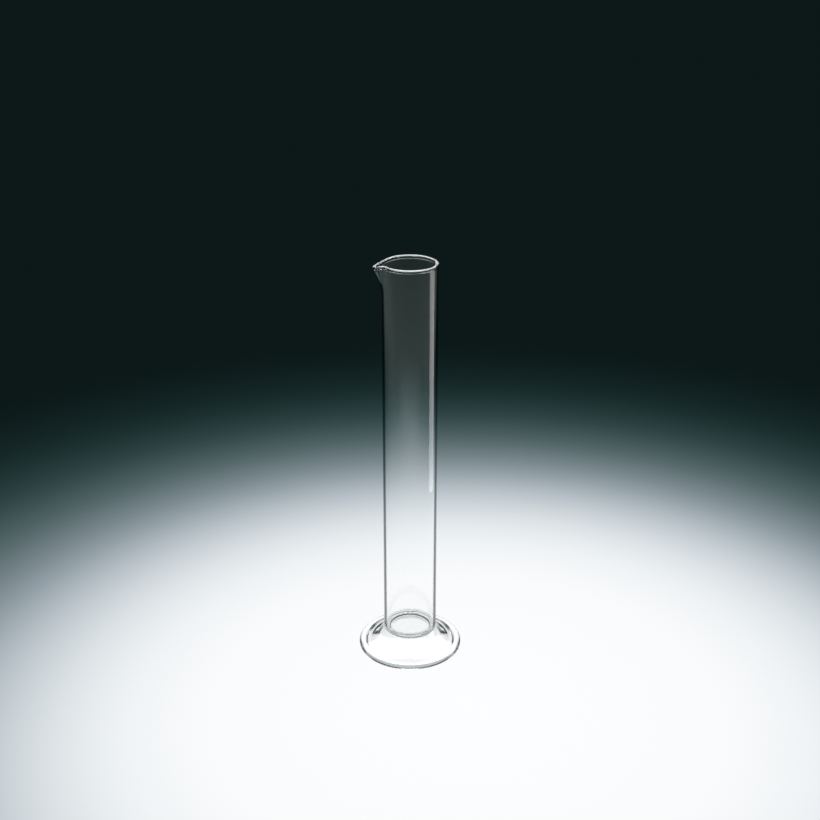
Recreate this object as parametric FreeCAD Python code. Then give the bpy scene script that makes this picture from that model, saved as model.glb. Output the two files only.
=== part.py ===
import FreeCAD, Part
import math
import os

# Graduated cylinder in clear glass: a drawn tube with a fire-polished rim and a pulled
# pouring spout, closed at the bottom and fused onto a thin domed foot with a thick edge.
# Millimetres, +Z up. The origin is on the tube's axis, on the surface that the foot stands on.
# The spout points along -X.

# Overall
HEIGHT = 385.0               # to the top of the rim
TUBE_RADIUS = 25.0           # outside of the tube
WALL = 2.5                   # thickness of the tube's wall

# Rim: a round bead a little thicker than the wall
BEAD_RADIUS = 1.75
BEAD_OVERHANG = 0.3          # how far the bead stands out of the tube
BEAD_HEIGHT = 4.0            # height of the zone that the flame has shaped

# Spout
SPOUT_HALF_ANGLE = 50.0      # degrees each side of the spout's middle that were pulled
SPOUT_SPREAD = 15.5          # degrees over which the pull falls away from the middle
SPOUT_REACH = 7.6            # how far the lip stands out of the rim's circle
SPOUT_DROOP = 0.45           # how far the lip sinks for each millimetre that it reaches out
SPOUT_DEPTH = 27.0           # from the rim down to where the channel fades out
SPOUT_CROWD = 1.8            # exponent of the pull's fall along the rim
SPOUT_FLARE = 1.6            # exponent of the pull's rise up the wall
SPOUT_SECTIONS = 21
SPOUT_CURVE_POINTS = 7

# Closed bottom of the tube
FLOOR_TOP = 23.5             # inside of the bottom
FLOOR_CORNER = 4.0           # width of the inner corner
CORNER_RISE = 3.0            # height of the inner corner
WALL_START = 27.0            # where the plain wall begins
WALL_END = 25.0              # below this the outside draws in to the waist

# Waist and neck where the tube's bottom is fused to the foot
WAIST_RADIUS = 24.0
WAIST_HEIGHT = 20.7          # also the height of the hollow's flat crown
SHOULDER_RADIUS = 30.0       # end of the hollow curve below the waist
SHOULDER_HEIGHT = 14.5
SHOULDER_SLOPE = 26.0        # degrees

# Hollow underside of the foot
CROWN_FLAT = 12.0            # radius of the flat crown under the tube's bottom
CROWN_RADIUS = 22.0
CROWN_EDGE = 17.5            # height of the underside at the crown's radius
CROWN_SLOPE = 50.0           # degrees
SKIRT_RADIUS = 39.0
SKIRT_HEIGHT = 3.2           # height of the underside where the thick edge begins
SKIRT_SLOPE = 25.0           # degrees

# Thick edge of the foot
FOOT_RADIUS = 49.0
RIM_RADIUS = 3.8
BEARING_INNER = 44.4         # inner edge of the narrow flat ring that the foot stands on

# How far the curves' inner poles lie from their ends: more makes a fuller curve
WALL_PULL = 2.0              # down from the wall's end, towards the waist
WAIST_PULL = 1.5             # up and down from the waist
SHOULDER_RISE = 2.5          # from the shoulder, back up towards the waist
SHOULDER_FALL = 6.0          # from the shoulder, down towards the edge
EDGE_PULL = 5.2              # inwards from the top of the edge
CROWN_PULL = 4.0             # inwards from the crown's radius, along the flat crown
CROWN_RISE = 2.0             # from the crown's radius, up towards the flat crown
CROWN_FALL = 3.0             # from the crown's radius, down towards the skirt
SKIRT_RISE = 4.0             # from the skirt, back up towards the crown
SKIRT_FALL = 2.0             # from the skirt, down towards the bearing ring
BEARING_PULL = 3.0           # inwards from the bearing ring
CORNER_PULL = 0.4            # share of the inner corner's width and height

SPOUT_AZIMUTH = 180.0


def at(radius, height, azimuth=0.0):
    """A point given by its distance from the axis, its height and its azimuth in degrees."""
    turn = math.radians(azimuth)
    return FreeCAD.Vector(radius * math.cos(turn), radius * math.sin(turn), height)


def line(start, end):
    return Part.LineSegment(start, end).toShape()


def arc(start, middle, end):
    return Part.Arc(start, middle, end).toShape()


def curve(start, leaving, arriving, end):
    """A cubic curve from start to end, given its two inner poles."""
    bezier = Part.BezierCurve()
    bezier.setPoles([start, leaving, arriving, end])
    return bezier.toShape()


def down(point, length, slope):
    """The point reached by going outwards by a length down a slope, or back up it if negative."""
    return point + FreeCAD.Vector(length, 0, -length * math.tan(math.radians(slope)))


def turned(edges, start=0.0, sweep=360.0):
    """The solid that a profile in the XZ plane makes when it turns about the axis."""
    face = Part.Face(Part.Wire(edges))
    axis = FreeCAD.Vector(0, 0, 1)
    origin = FreeCAD.Vector(0, 0, 0)
    face.rotate(origin, axis, start)
    return face.revolve(origin, axis, sweep)


def bead_centre():
    """Distance from the axis and height of the middle of the bead's round section."""
    return TUBE_RADIUS + BEAD_OVERHANG - BEAD_RADIUS, HEIGHT - BEAD_RADIUS


def bead_meets(radius):
    """Height at which the bead's round section runs into a wall of the given radius."""
    middle, height = bead_centre()
    return height - math.sqrt(BEAD_RADIUS ** 2 - (radius - middle) ** 2)


def rim_bead():
    inner = TUBE_RADIUS - WALL
    seam = HEIGHT - BEAD_HEIGHT
    outer_end = at(TUBE_RADIUS, bead_meets(TUBE_RADIUS))
    inner_end = at(inner, bead_meets(inner))
    edges = [
        line(at(inner, seam), at(TUBE_RADIUS, seam)),
        line(at(TUBE_RADIUS, seam), outer_end),
        arc(outer_end, at(bead_centre()[0], HEIGHT), inner_end),
        line(inner_end, at(inner, seam)),
    ]
    sweep = 360.0 - 2.0 * SPOUT_HALF_ANGLE
    return turned(edges, SPOUT_AZIMUTH + SPOUT_HALF_ANGLE, sweep)


def tube_wall():
    """The plain tube, open where the spout was pulled out of it."""
    inner = TUBE_RADIUS - WALL
    seam = HEIGHT - BEAD_HEIGHT
    spout_foot = HEIGHT - SPOUT_DEPTH
    corners = [
        at(inner, WALL_START),
        at(TUBE_RADIUS, WALL_START),
        at(TUBE_RADIUS, seam),
        at(inner, seam),
        at(inner, WALL_START),
    ]
    tube = turned([line(a, b) for a, b in zip(corners, corners[1:])])
    reach = TUBE_RADIUS + SPOUT_REACH
    window = [at(0, spout_foot), at(reach, spout_foot), at(reach, HEIGHT), at(0, HEIGHT)]
    window.append(window[0])
    sector = turned(
        [line(a, b) for a, b in zip(window, window[1:])],
        SPOUT_AZIMUTH - SPOUT_HALF_ANGLE,
        2.0 * SPOUT_HALF_ANGLE,
    )
    return tube.cut(sector)


def spout_pull(angle):
    """How far the rim is pulled outwards at an angle from the spout's middle."""
    fall = math.exp(-((abs(angle) / SPOUT_SPREAD) ** SPOUT_CROWD))
    fade = (1.0 - (angle / SPOUT_HALF_ANGLE) ** 2) ** 2
    return SPOUT_REACH * fall * fade


def spout_side(radius, angle, pull):
    """One side of the spout's wall, from the plain tube up to the bead."""
    foot = HEIGHT - SPOUT_DEPTH
    top = bead_meets(radius) - SPOUT_DROOP * pull
    points = []
    for step in range(SPOUT_CURVE_POINTS):
        rise = step / (SPOUT_CURVE_POINTS - 1)
        out = radius + pull * rise ** SPOUT_FLARE
        points.append(at(out, foot + rise * (top - foot), SPOUT_AZIMUTH + angle))
    side = Part.BSplineCurve()
    side.interpolate(points)
    return side.toShape(), points[0], points[-1]


def spout_section(angle):
    """The spout's wall and lip, cut by a plane through the axis."""
    pull = spout_pull(angle)
    azimuth = SPOUT_AZIMUTH + angle
    outside, outer_foot, outer_top = spout_side(TUBE_RADIUS, angle, pull)
    inside, inner_foot, inner_top = spout_side(TUBE_RADIUS - WALL, angle, pull)
    lip_top = at(bead_centre()[0] + pull, HEIGHT - SPOUT_DROOP * pull, azimuth)
    lip = arc(outer_top, lip_top, inner_top)
    return Part.Wire([outside, lip, inside, line(inner_foot, outer_foot)])


def pouring_spout():
    sections = []
    for step in range(SPOUT_SECTIONS):
        share = 2.0 * step / (SPOUT_SECTIONS - 1) - 1.0
        sections.append(spout_section(share * SPOUT_HALF_ANGLE))
    return Part.makeLoft(sections, True, False)


def waist():
    """Where the tube's bottom is narrowest, outside."""
    return at(WAIST_RADIUS, WAIST_HEIGHT)


def shoulder():
    """Where the neck ends and the foot's slope begins, outside."""
    return at(SHOULDER_RADIUS, SHOULDER_HEIGHT)


def crown_edge():
    """Where the underside bends from the flat crown into the slope."""
    return at(CROWN_RADIUS, CROWN_EDGE)


def skirt():
    """Where the underside reaches the thick edge."""
    return at(SKIRT_RADIUS, SKIRT_HEIGHT)


def rim_top():
    """The highest point of the thick edge."""
    return at(FOOT_RADIUS - RIM_RADIUS, 2.0 * RIM_RADIUS)


def tube_floor():
    """The tube's closed bottom, drawn in to the waist outside and rounded in the corner inside."""
    inner = TUBE_RADIUS - WALL
    wall_end = at(TUBE_RADIUS, WALL_END)
    corner = at(inner, FLOOR_TOP + CORNER_RISE)
    corner_end = at(inner - FLOOR_CORNER, FLOOR_TOP)
    edges = [
        line(at(0, WAIST_HEIGHT), waist()),
        curve(
            waist(),
            at(WAIST_RADIUS, WAIST_HEIGHT + WAIST_PULL),
            at(TUBE_RADIUS, WALL_END - WALL_PULL),
            wall_end,
        ),
        line(wall_end, at(TUBE_RADIUS, WALL_START)),
        line(at(TUBE_RADIUS, WALL_START), at(inner, WALL_START)),
        line(at(inner, WALL_START), corner),
        curve(
            corner,
            at(inner, FLOOR_TOP + CORNER_RISE * CORNER_PULL),
            at(inner - FLOOR_CORNER * CORNER_PULL, FLOOR_TOP),
            corner_end,
        ),
        line(corner_end, at(0, FLOOR_TOP)),
        line(at(0, FLOOR_TOP), at(0, WAIST_HEIGHT)),
    ]
    return turned(edges)


def fused_neck():
    """The ring that joins the tube's bottom to the foot, below the waist."""
    crown_start = at(CROWN_FLAT, WAIST_HEIGHT)
    edges = [
        line(crown_start, waist()),
        curve(
            waist(),
            at(WAIST_RADIUS, WAIST_HEIGHT - WAIST_PULL),
            down(shoulder(), -SHOULDER_RISE, SHOULDER_SLOPE),
            shoulder(),
        ),
        line(shoulder(), crown_edge()),
        curve(
            crown_edge(),
            down(crown_edge(), -CROWN_RISE, CROWN_SLOPE),
            at(CROWN_RADIUS - CROWN_PULL, WAIST_HEIGHT),
            crown_start,
        ),
    ]
    return turned(edges)


def foot_dome():
    """The foot's sloping shell, hollow underneath."""
    edges = [
        line(crown_edge(), shoulder()),
        curve(
            shoulder(),
            down(shoulder(), SHOULDER_FALL, SHOULDER_SLOPE),
            rim_top() - FreeCAD.Vector(EDGE_PULL, 0, 0),
            rim_top(),
        ),
        line(rim_top(), skirt()),
        curve(
            skirt(),
            down(skirt(), -SKIRT_RISE, SKIRT_SLOPE),
            down(crown_edge(), CROWN_FALL, CROWN_SLOPE),
            crown_edge(),
        ),
    ]
    return turned(edges)


def foot_rim():
    """The foot's thick rounded edge, with the narrow ring that it stands on."""
    middle = FOOT_RADIUS - RIM_RADIUS
    edges = [
        line(rim_top(), skirt()),
        curve(
            skirt(),
            down(skirt(), SKIRT_FALL, SKIRT_SLOPE),
            at(BEARING_INNER - BEARING_PULL, 0),
            at(BEARING_INNER, 0),
        ),
        line(at(BEARING_INNER, 0), at(middle, 0)),
        arc(at(middle, 0), at(FOOT_RADIUS, RIM_RADIUS), rim_top()),
    ]
    return turned(edges)


NODES = {
    "tube_wall": tube_wall,
    "rim_bead": rim_bead,
    "pouring_spout": pouring_spout,
    "tube_floor": tube_floor,
    "fused_neck": fused_neck,
    "foot_dome": foot_dome,
    "foot_rim": foot_rim,
}


def main():
    os.makedirs("parts", exist_ok=True)
    for name, make in NODES.items():
        shape = make()
        shape.exportStep("parts/" + name + ".step")
        box = shape.BoundBox
        print(
            name, shape.ShapeType, "valid", shape.isValid(), "volume", round(shape.Volume, 1),
            "z", round(box.ZMin, 2), round(box.ZMax, 2), "x", round(box.XMin, 2), round(box.XMax, 2),
        )


main()
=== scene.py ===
import math

import bpy
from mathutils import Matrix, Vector


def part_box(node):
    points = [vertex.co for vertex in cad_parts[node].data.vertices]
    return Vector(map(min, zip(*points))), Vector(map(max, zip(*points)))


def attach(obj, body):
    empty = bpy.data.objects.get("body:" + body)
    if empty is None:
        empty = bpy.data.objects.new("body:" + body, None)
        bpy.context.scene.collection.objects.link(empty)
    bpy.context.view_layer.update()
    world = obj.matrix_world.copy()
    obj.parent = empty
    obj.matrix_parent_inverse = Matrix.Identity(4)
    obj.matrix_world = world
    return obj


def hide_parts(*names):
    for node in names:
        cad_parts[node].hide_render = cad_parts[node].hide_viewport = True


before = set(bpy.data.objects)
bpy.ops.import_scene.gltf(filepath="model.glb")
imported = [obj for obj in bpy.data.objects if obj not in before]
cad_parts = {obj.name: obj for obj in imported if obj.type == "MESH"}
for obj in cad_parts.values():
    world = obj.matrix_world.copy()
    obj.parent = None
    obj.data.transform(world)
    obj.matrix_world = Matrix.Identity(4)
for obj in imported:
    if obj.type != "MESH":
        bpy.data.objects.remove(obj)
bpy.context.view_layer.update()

# A clear-glass measuring cylinder on a round foot, with a fire-polished rim and a pulled pouring
# spout that points along -X. It stands on a pale floor whose light fades to dark behind it.
# Metres, +Z up. The origin is on the tube's axis, where the foot rests.

MM = 0.001

# ---------------------------------------------------------------- sizes, from the frame

wall_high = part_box("tube_wall")[1]
bead_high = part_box("rim_bead")[1]
spout_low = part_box("pouring_spout")[0]
neck_low, neck_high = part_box("fused_neck")
dome_low, dome_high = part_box("foot_dome")
edge_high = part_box("foot_rim")[1]

# Tube and rim
HEIGHT = bead_high.z
TUBE_RADIUS = wall_high.y
WALL = 2.5 * MM
INNER_RADIUS = TUBE_RADIUS - WALL
BEAD_RADIUS = 1.75 * MM
BEAD_MIDDLE = (bead_high.x - BEAD_RADIUS, HEIGHT - BEAD_RADIUS)

# Spout
SPOUT_START = spout_low.z
SPOUT_REACH = -spout_low.x - bead_high.x
SPOUT_DROOP = 0.45                           # how far the lip sinks for its reach
SPOUT_SPREAD = math.radians(15.5)            # angle over which the pull falls away
SPOUT_HALF_ANGLE = math.radians(50.0)        # nothing is pulled outside this angle
SPOUT_CROWD = 1.8                            # exponent of the pull's fall along the rim
SPOUT_FLARE = 1.6                            # exponent of the pull's rise up the wall
SPOUT_AZIMUTH = math.pi

# Closed bottom of the tube
FLOOR_TOP = 23.5 * MM
FLOOR_CORNER = 4.0 * MM
CORNER_RISE = 3.0 * MM
WALL_END = 25.0 * MM                         # below this the outside draws in to the waist

# Waist, neck and the hollow underside of the foot
WAIST_RADIUS = 24.0 * MM
WAIST_HEIGHT = neck_high.z                   # also the height of the hollow's flat crown
SHOULDER_RADIUS = neck_high.x
SHOULDER_HEIGHT = neck_low.z
SHOULDER_SLOPE = math.radians(26.0)
CROWN_FLAT = 12.0 * MM
CROWN_RADIUS = 22.0 * MM
CROWN_EDGE = 17.5 * MM
CROWN_SLOPE = math.radians(50.0)
SKIRT_RADIUS = 39.0 * MM
SKIRT_HEIGHT = dome_low.z
SKIRT_SLOPE = math.radians(25.0)

# Thick edge of the foot
FOOT_RADIUS = edge_high.x
RIM_RADIUS = edge_high.x - dome_high.x
BEARING_INNER = 44.4 * MM

# How far the curves' inner poles lie from their ends: more makes a fuller curve
WALL_PULL = 2.0 * MM
WAIST_PULL = 1.5 * MM
SHOULDER_RISE = 2.5 * MM
SHOULDER_FALL = 6.0 * MM
EDGE_PULL = 5.2 * MM
CROWN_PULL = 4.0 * MM
CROWN_RISE = 2.0 * MM
CROWN_FALL = 3.0 * MM
SKIRT_RISE = 4.0 * MM
SKIRT_FALL = 2.0 * MM
BEARING_PULL = 3.0 * MM
CORNER_PULL = 0.4                            # share of the inner corner's width and height

TURNS = 256                                  # points around the axis

# ---------------------------------------------------------------- looks

# Glass
GLASS_IOR = 1.5
GLASS_TINT = (0.35, 0.85, 0.7)               # colour that the glass lets through best
GLASS_DENSITY = 2.5                          # how strongly it absorbs the rest
CLEAR = (1.0, 1.0, 1.0)
# painted shade for the tube's edges, by how far the skin turns from the eye
PAINTED_DARK_EDGE = (0.003, 0.005, 0.006)
PAINTED_GREY_EDGE = (0.5, 0.5, 0.5)
# painted shade for the foot's thick edge, by distance from the axis
PAINTED_FOOT_SHADE = (0.3, 0.34, 0.34)
PAINTED_FOOT_SHADE_START = FOOT_RADIUS - 1.1 * MM    # distance from the axis where the painted shade begins
PAINTED_FOOT_SHADE_FULL = FOOT_RADIUS - 0.4 * MM     # and where it is full
WAVE_SCALE = 38.0
WAVE_DETAIL = 1.0
WAVE_STRETCH = 0.12                          # share of the scale left along the tube
WAVE_STRENGTH = 0.35
WAVE_DEPTH = 0.1 * MM
HAZE_SCALE = 60.0
HAZE_DETAIL = 4.0
HAZE_START = 0.45                            # noise below this leaves no haze
HAZE_FULL = 0.8
HAZE_ROUGHNESS = 0.03

# Painted shade on the tube's skin: how much it lets through, by how far it turns from the eye: 0 face on, 1
# edge on
PAINTED_EDGE_STOPS = [
    (0.57, CLEAR),
    (0.645, PAINTED_DARK_EDGE),
    (0.84, PAINTED_DARK_EDGE),
    (0.95, PAINTED_GREY_EDGE),
]

# Painted light that the floor gives off by itself, by distance from the middle of the pool
POOL_MIDDLE = (0.05, -0.1)
POOL_STOPS = [
    (0.0, (0.98, 0.98, 0.99)),
    (0.22, (0.96, 0.96, 0.97)),
    (0.3, (0.88, 0.9, 0.92)),
    (0.36, (0.74, 0.78, 0.8)),
    (0.42, (0.53, 0.58, 0.62)),
    (0.48, (0.29, 0.34, 0.38)),
    (0.54, (0.14, 0.185, 0.2)),
    (0.6, (0.06, 0.095, 0.1)),
    (0.67, (0.018, 0.04, 0.04)),
    (0.76, (0.004, 0.011, 0.011)),
    (0.88, (0.0, 0.0, 0.0)),
]

# Painted light of the apron, which lies beside the pool and in front of it, by share of its reach
APRON_REACH = 3.0
APRON_SPLAY = 0.3                            # how far each side moves out for each metre back
APRON_SIDE = 0.42                            # from the middle line out to where a side begins
APRON_SIDE_FADE = 0.4
APRON_FRONT = -0.3
APRON_FRONT_FADE = 0.2
APRON_STOPS = [
    (0.1, (0.0, 0.0, 0.0)),
    (0.18, (0.2, 0.24, 0.22)),
    (0.4, (0.15, 0.19, 0.17)),
    (0.9, (0.0, 0.0, 0.0)),
]

# Studio
FLOOR_HALF = 20.0                            # half the floor's side
FLOOR_GAP = 0.2 * MM                         # between the floor and the foot
DARK_ROOM = (0.004, 0.0097, 0.0097)
WHITE = (1.0, 1.0, 1.0)
WARM_WHITE = (1.0, 0.96, 0.97)
CAMERA_PLACE = (0.0, -1.145, 0.735)
CAMERA_DIP = math.radians(23.11)             # how far it looks down
LENS = 60.45
SENSOR = 36.0
BOUNCES = 24
GLOSSY_BOUNCES = 12


# ---------------------------------------------------------------- outline of the glass
# A point of the outline is its distance from the axis and its height.

def straight(start, end, steps):
    """Points from start to end, without the first."""
    points = []
    for step in range(1, steps + 1):
        share = step / steps
        points.append(tuple(a + (b - a) * share for a, b in zip(start, end)))
    return points


def round_about(centre, radius, first, last, steps):
    """Points on an arc, without the first. Angles go from outwards towards up."""
    points = []
    for step in range(1, steps + 1):
        angle = first + (last - first) * step / steps
        points.append((centre[0] + radius * math.cos(angle), centre[1] + radius * math.sin(angle)))
    return points


def curved(start, leaving, arriving, end, steps):
    """Points on a cubic curve from start to end, without the first, given its two inner poles."""
    poles = (start, leaving, arriving, end)
    points = []
    for step in range(1, steps + 1):
        t = step / steps
        u = 1 - t
        weights = (u ** 3, 3 * u * u * t, 3 * u * t * t, t ** 3)
        points.append(tuple(sum(w * pole[axis] for w, pole in zip(weights, poles)) for axis in (0, 1)))
    return points


def down(point, length, slope):
    """The point reached by going outwards by a length down a slope, or back up it if negative."""
    return point[0] + length, point[1] - length * math.tan(slope)


def underside():
    """The foot's hollow, from the axis out to the ring that the foot stands on."""
    middle = (0.0, WAIST_HEIGHT)
    crown_start = (CROWN_FLAT, WAIST_HEIGHT)
    crown = (CROWN_RADIUS, CROWN_EDGE)
    skirt = (SKIRT_RADIUS, SKIRT_HEIGHT)
    bearing = (BEARING_INNER, 0.0)
    points = [middle]
    points += straight(middle, crown_start, steps=6)
    points += curved(
        crown_start,
        (CROWN_RADIUS - CROWN_PULL, WAIST_HEIGHT),
        down(crown, -CROWN_RISE, CROWN_SLOPE),
        crown,
        steps=20,
    )
    points += curved(
        crown,
        down(crown, CROWN_FALL, CROWN_SLOPE),
        down(skirt, -SKIRT_RISE, SKIRT_SLOPE),
        skirt,
        steps=20,
    )
    points += curved(
        skirt,
        down(skirt, SKIRT_FALL, SKIRT_SLOPE),
        (BEARING_INNER - BEARING_PULL, 0.0),
        bearing,
        steps=16,
    )
    return points


def foot_outside():
    """The ring that the foot stands on, its edge, slope and shoulder, and the waist above them."""
    bearing = (BEARING_INNER, 0.0)
    edge_middle = (FOOT_RADIUS - RIM_RADIUS, RIM_RADIUS)
    edge_bottom = (edge_middle[0], 0.0)
    edge_top = (edge_middle[0], 2 * RIM_RADIUS)
    shoulder = (SHOULDER_RADIUS, SHOULDER_HEIGHT)
    waist = (WAIST_RADIUS, WAIST_HEIGHT)
    points = straight(bearing, edge_bottom, steps=2)
    points += round_about(edge_middle, RIM_RADIUS, -math.pi / 2, math.pi / 2, steps=30)
    points += curved(
        edge_top,
        (edge_top[0] - EDGE_PULL, edge_top[1]),
        down(shoulder, SHOULDER_FALL, SHOULDER_SLOPE),
        shoulder,
        steps=24,
    )
    points += curved(
        shoulder,
        down(shoulder, -SHOULDER_RISE, SHOULDER_SLOPE),
        (WAIST_RADIUS, WAIST_HEIGHT - WAIST_PULL),
        waist,
        steps=12,
    )
    points += curved(
        waist,
        (WAIST_RADIUS, WAIST_HEIGHT + WAIST_PULL),
        (TUBE_RADIUS, WALL_END - WALL_PULL),
        (TUBE_RADIUS, WALL_END),
        steps=12,
    )
    return points


def wall_and_rim():
    """Up the outside of the wall, over the bead, down the inside and across the tube's floor."""
    outer_turn = math.acos((TUBE_RADIUS - BEAD_MIDDLE[0]) / BEAD_RADIUS)
    inner_turn = math.acos((BEAD_MIDDLE[0] - INNER_RADIUS) / BEAD_RADIUS)
    outer_foot = (TUBE_RADIUS, SPOUT_START)
    inner_foot = (INNER_RADIUS, SPOUT_START)
    outer_end = (TUBE_RADIUS, BEAD_MIDDLE[1] - BEAD_RADIUS * math.sin(outer_turn))
    inner_end = (INNER_RADIUS, BEAD_MIDDLE[1] - BEAD_RADIUS * math.sin(inner_turn))
    corner = (INNER_RADIUS, FLOOR_TOP + CORNER_RISE)
    corner_end = (INNER_RADIUS - FLOOR_CORNER, FLOOR_TOP)
    points = straight((TUBE_RADIUS, WALL_END), outer_foot, steps=40)
    points += straight(outer_foot, outer_end, steps=24)
    points += round_about(BEAD_MIDDLE, BEAD_RADIUS, -outer_turn, math.pi + inner_turn, steps=28)
    points += straight(inner_end, inner_foot, steps=24)
    points += straight(inner_foot, corner, steps=40)
    points += curved(
        corner,
        (INNER_RADIUS, FLOOR_TOP + CORNER_RISE * CORNER_PULL),
        (INNER_RADIUS - FLOOR_CORNER * CORNER_PULL, FLOOR_TOP),
        corner_end,
        steps=14,
    )
    points += straight(corner_end, (0.0, FLOOR_TOP), steps=12)
    return points


def spout_pull(angle):
    """How far the rim is pulled outwards at an angle from the spout's middle."""
    if abs(angle) >= SPOUT_HALF_ANGLE:
        return 0.0
    fall = math.exp(-((abs(angle) / SPOUT_SPREAD) ** SPOUT_CROWD))
    fade = (1 - (angle / SPOUT_HALF_ANGLE) ** 2) ** 2
    return SPOUT_REACH * fall * fade


def placed(radius, height, azimuth):
    """A point of the outline turned to an azimuth, and pulled out where the spout is."""
    pull = spout_pull(math.remainder(azimuth - SPOUT_AZIMUTH, 2 * math.pi))
    bead_foot = HEIGHT - 2 * BEAD_RADIUS
    share = (height - SPOUT_START) / (bead_foot - SPOUT_START)
    share = max(0.0, min(1.0, share))
    radius += pull * share ** SPOUT_FLARE
    height -= SPOUT_DROOP * pull * share
    return radius * math.cos(azimuth), radius * math.sin(azimuth), height


def glass_body():
    """One seamless skin for all of the fused glass, because it has no faces inside it."""
    path = underside() + foot_outside() + wall_and_rim()
    rings = path[1:-1]
    verts = [(0.0, 0.0, path[0][1])]
    for radius, height in rings:
        for turn in range(TURNS):
            verts.append(placed(radius, height, 2 * math.pi * turn / TURNS))
    verts.append((0.0, 0.0, path[-1][1]))
    last_ring = 1 + (len(rings) - 1) * TURNS
    last_vert = len(verts) - 1
    faces = []
    for turn in range(TURNS):
        after = (turn + 1) % TURNS
        faces.append((0, 1 + after, 1 + turn))
        for low in range(1, last_ring, TURNS):
            high = low + TURNS
            faces.append((low + turn, low + after, high + after, high + turn))
        faces.append((last_ring + turn, last_ring + after, last_vert))
    mesh = bpy.data.meshes.new("glass_body")
    mesh.from_pydata(verts, [], faces)
    mesh.shade_smooth()
    mesh.materials.append(clear_glass())
    body = bpy.data.objects.new("glass_body", mesh)
    bpy.context.scene.collection.objects.link(body)
    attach(body, "root")
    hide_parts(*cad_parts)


# ---------------------------------------------------------------- node trees

class Tree:
    """A material's node tree, with short calls for the nodes that the materials use."""

    def __init__(self, name):
        self.material = bpy.data.materials.new(name)
        self.material.use_nodes = True
        self.nodes = self.material.node_tree.nodes
        self.links = self.material.node_tree.links
        self.nodes.clear()
        self.out = self.nodes.new("ShaderNodeOutputMaterial")

    def fill(self, socket, value):
        """Links a socket to another node's output, or sets it to a plain value."""
        if isinstance(value, bpy.types.NodeSocket):
            self.links.new(value, socket)
        else:
            socket.default_value = value

    def node(self, kind, **inputs):
        """A new node with its named inputs filled. An underscore in a name stands for a space."""
        made = self.nodes.new(kind)
        for name, value in inputs.items():
            self.fill(made.inputs[name.replace("_", " ")], value)
        return made

    def worked_out(self, kind, operation, values):
        """A new maths node with its inputs filled in order."""
        made = self.nodes.new(kind)
        made.operation = operation
        for socket, value in zip(made.inputs, values):
            self.fill(socket, value)
        return made

    def maths(self, operation, *values):
        return self.worked_out("ShaderNodeMath", operation, values).outputs[0]

    def vector(self, operation, *values):
        return self.worked_out("ShaderNodeVectorMath", operation, values).outputs["Vector"]

    def length(self, value):
        return self.worked_out("ShaderNodeVectorMath", "LENGTH", [value]).outputs["Value"]

    def place(self):
        """The point on the object, in metres."""
        return self.nodes.new("ShaderNodeTexCoord").outputs["Object"]

    def ramp(self, value, stops, interpolation="LINEAR"):
        """A colour that changes along a value. The stops are pairs of a position and a colour."""
        made = self.nodes.new("ShaderNodeValToRGB")
        made.color_ramp.interpolation = interpolation
        elements = made.color_ramp.elements
        for element, (position, colour) in zip(elements, stops):
            element.position = position
            element.color = (*colour, 1)
        for position, colour in stops[2:]:
            elements.new(position).color = (*colour, 1)
        self.fill(made.inputs[0], value)
        return made.outputs[0]

    def blended(self, share, first, second):
        """A colour between two, by a share from 0 to 1."""
        made = self.nodes.new("ShaderNodeMix")
        made.data_type = "RGBA"
        first_colour, second_colour = [socket for socket in made.inputs if socket.type == "RGBA"]
        self.fill(made.inputs[0], share)
        self.fill(first_colour, first)
        self.fill(second_colour, second)
        return [socket for socket in made.outputs if socket.type == "RGBA"][0]


# ---------------------------------------------------------------- glass

def painted_edge_shade(tree, place, radius):
    """Painted shade: the tube's outer skin is darkened in its colour where it turns from the eye, standing
    in for the dark room seen at its edges.
    """
    facing = tree.node("ShaderNodeLayerWeight", Blend=0.5).outputs["Facing"]
    outside = tree.maths("GREATER_THAN", radius, TUBE_RADIUS - WALL / 2)
    height = tree.node("ShaderNodeSeparateXYZ", Vector=place).outputs["Z"]
    above_waist = tree.maths("GREATER_THAN", height, WALL_END)
    on_tube = tree.maths("MULTIPLY", outside, above_waist)
    return tree.blended(on_tube, (*CLEAR, 1), tree.ramp(facing, PAINTED_EDGE_STOPS))


def painted_foot_shade(tree, radius, colour):
    """Painted shade: the foot's outermost millimetre is given a grey-green colour by its distance from the
    axis, where its thick edge looks dark.
    """
    share = tree.node("ShaderNodeMapRange", Value=radius)
    share.inputs["From Min"].default_value = PAINTED_FOOT_SHADE_START
    share.inputs["From Max"].default_value = PAINTED_FOOT_SHADE_FULL
    return tree.blended(share.outputs[0], colour, (*PAINTED_FOOT_SHADE, 1))


def drawing_waves(tree, place):
    """Faint long waves in the surface, left from drawing the tube."""
    stretched = tree.node("ShaderNodeMapping", Vector=place, Scale=(1, 1, WAVE_STRETCH)).outputs[0]
    waves = tree.node("ShaderNodeTexNoise", Vector=stretched, Scale=WAVE_SCALE, Detail=WAVE_DETAIL)
    bump = tree.node("ShaderNodeBump", Strength=WAVE_STRENGTH, Distance=WAVE_DEPTH, Height=waves.outputs[0])
    return bump.outputs[0]


def wiped_haze(tree, place):
    """A faint uneven haze, as wiping leaves."""
    cloud = tree.node("ShaderNodeTexNoise", Vector=place, Scale=HAZE_SCALE, Detail=HAZE_DETAIL)
    haze = tree.node("ShaderNodeMapRange", Value=cloud.outputs[0])
    haze.inputs["From Min"].default_value = HAZE_START
    haze.inputs["From Max"].default_value = HAZE_FULL
    haze.inputs["To Max"].default_value = HAZE_ROUGHNESS
    return haze.outputs[0]


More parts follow.
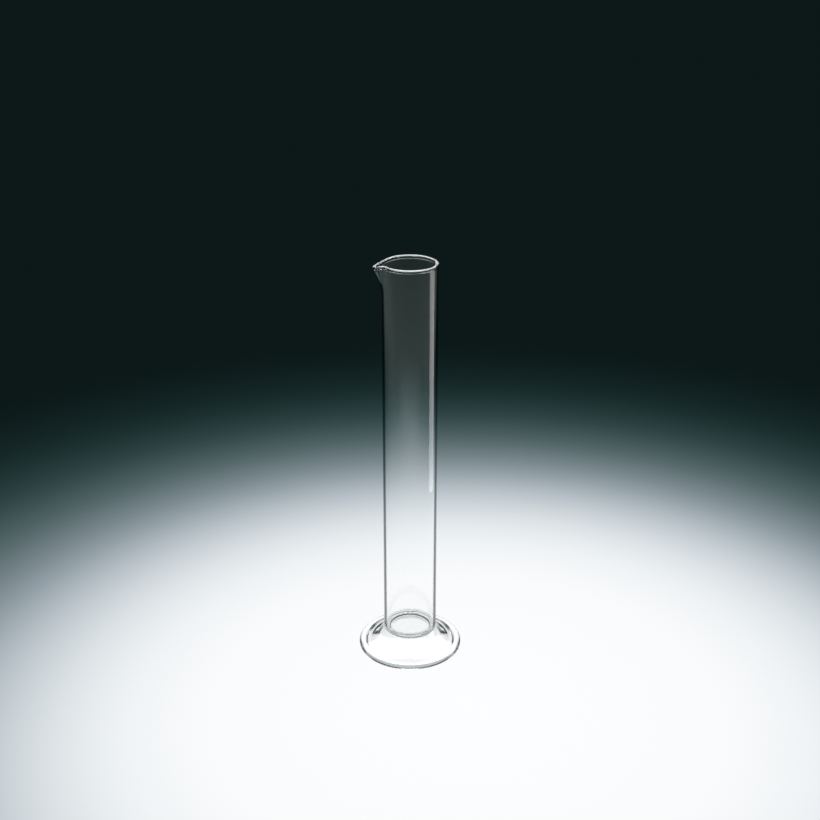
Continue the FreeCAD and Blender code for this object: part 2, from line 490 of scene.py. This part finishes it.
def clear_glass():
    tree = Tree("clear_glass")
    place = tree.place()
    radius = tree.length(tree.vector("MULTIPLY", place, (1, 1, 0)))
    glass = tree.node(
        "ShaderNodeBsdfPrincipled",
        # the base colour carries painted shade on the tube's edges and on the foot's edge
        Base_Color=painted_foot_shade(tree, radius, painted_edge_shade(tree, place, radius)),
        Roughness=wiped_haze(tree, place),
        IOR=GLASS_IOR,
        Transmission_Weight=1,
        Normal=drawing_waves(tree, place),
    )
    tint = tree.node("ShaderNodeVolumeAbsorption", Color=(*GLASS_TINT, 1), Density=GLASS_DENSITY)
    tree.fill(tree.out.inputs["Surface"], glass.outputs[0])
    tree.fill(tree.out.inputs["Volume"], tint.outputs[0])
    return tree.material


# ---------------------------------------------------------------- floor

def distance(tree, x, y, middle):
    """How far a point of the floor is from a middle."""
    across = tree.maths("SUBTRACT", x, middle[0])
    along = tree.maths("SUBTRACT", y, middle[1])
    squares = [tree.maths("MULTIPLY", side, side) for side in (across, along)]
    return tree.maths("SQRT", tree.maths("ADD", *squares))


def beside_or_in_front(tree, x, y):
    """1 where the apron lies, fading to 0 towards the pool and the space behind it."""
    splayed = tree.maths("MULTIPLY_ADD", y, -APRON_SPLAY, tree.maths("ABSOLUTE", x))
    beside = tree.maths("DIVIDE", tree.maths("SUBTRACT", splayed, APRON_SIDE), APRON_SIDE_FADE)
    in_front = tree.maths("DIVIDE", tree.maths("SUBTRACT", APRON_FRONT, y), APRON_FRONT_FADE)
    either = tree.maths("MAXIMUM", beside, in_front)
    return tree.maths("MINIMUM", tree.maths("MAXIMUM", either, 0.0), 1.0)


def floor_material():
    """A painted pool of pale light, given off by the floor itself, that fades to the dark room, with a dim
    grey apron of painted light around its front.
    """
    tree = Tree("studio_floor")
    parts = tree.node("ShaderNodeSeparateXYZ", Vector=tree.place())
    x = parts.outputs["X"]
    y = parts.outputs["Y"]
    pool = tree.ramp(distance(tree, x, y, POOL_MIDDLE), POOL_STOPS, "B_SPLINE")
    apron_share = tree.maths("DIVIDE", distance(tree, x, y, (0.0, 0.0)), APRON_REACH)
    apron = tree.ramp(apron_share, APRON_STOPS, "B_SPLINE")
    apron = tree.vector("MULTIPLY", apron, beside_or_in_front(tree, x, y))
    lit = tree.vector("ADD", tree.vector("ADD", pool, apron), DARK_ROOM)
    # the floor glows with its painted light; it is no lamp
    glow = tree.node("ShaderNodeEmission", Color=lit)
    tree.fill(tree.out.inputs["Surface"], glow.outputs[0])
    return tree.material


# ---------------------------------------------------------------- stage

def studio_floor():
    corners = [(-1, -1), (1, -1), (1, 1), (-1, 1)]
    verts = [(x * FLOOR_HALF, y * FLOOR_HALF, 0) for x, y in corners]
    mesh = bpy.data.meshes.new("studio_floor")
    mesh.from_pydata(verts, [], [(0, 1, 2, 3)])
    mesh.materials.append(floor_material())
    floor = bpy.data.objects.new("studio_floor", mesh)
    bpy.context.scene.collection.objects.link(floor)
    floor.location.z = -FLOOR_GAP


def soft_light(name, place, target, size, radiance, colour=WHITE, through=False):
    """A soft box that faces its target. It isn't seen through the glass unless through is true."""
    data = bpy.data.lights.new(name, "AREA")
    data.shape = "RECTANGLE"
    data.size, data.size_y = size
    data.energy = radiance * math.pi * size[0] * size[1]
    data.color = colour
    lamp = bpy.data.objects.new(name, data)
    bpy.context.scene.collection.objects.link(lamp)
    lamp.location = place
    lamp.rotation_euler = (Vector(target) - Vector(place)).to_track_quat("-Z", "Y").to_euler()
    lamp.visible_camera = False
    lamp.visible_transmission = through


def studio_lights():
    soft_light(
        "right_box", place=(0.356, 0.053, 0.145), target=(0, 0, 0.145), size=(0.173, 0.29), radiance=2.8,
        colour=WARM_WHITE)
    soft_light("overhead", place=(0, 0, 1.7), target=(0, 0, 0), size=(4.4, 4.4), radiance=6.5)
    soft_light("back_low", place=(0, 1.6, 0.8), target=(0, 0, 0.38), size=(1.6, 0.9), radiance=2.5)
    soft_light(
        "back_high", place=(0, 1.7, 1.35), target=(0, 0, 0.2), size=(2.4, 0.6), radiance=0.6, through=True)


def dark_room():
    sky = bpy.data.worlds.new("studio")
    sky.use_nodes = True
    sky.node_tree.nodes["Background"].inputs["Color"].default_value = (*DARK_ROOM, 1)
    bpy.context.scene.world = sky


def camera():
    """In front of the glass and above it, looking down a little."""
    data = bpy.data.cameras.new("camera")
    data.lens = LENS
    data.sensor_width = SENSOR
    cam = bpy.data.objects.new("camera", data)
    bpy.context.scene.collection.objects.link(cam)
    cam.location = CAMERA_PLACE
    cam.rotation_euler = (math.pi / 2 - CAMERA_DIP, 0, 0)
    bpy.context.scene.camera = cam


def light_paths():
    """Plain colours, and enough bounces for light to get through every wall of the glass."""
    scene = bpy.context.scene
    scene.view_settings.view_transform = "Standard"
    scene.cycles.max_bounces = BOUNCES
    scene.cycles.transmission_bounces = BOUNCES
    scene.cycles.glossy_bounces = GLOSSY_BOUNCES


glass_body()
studio_floor()
studio_lights()
dark_room()
camera()
light_paths()
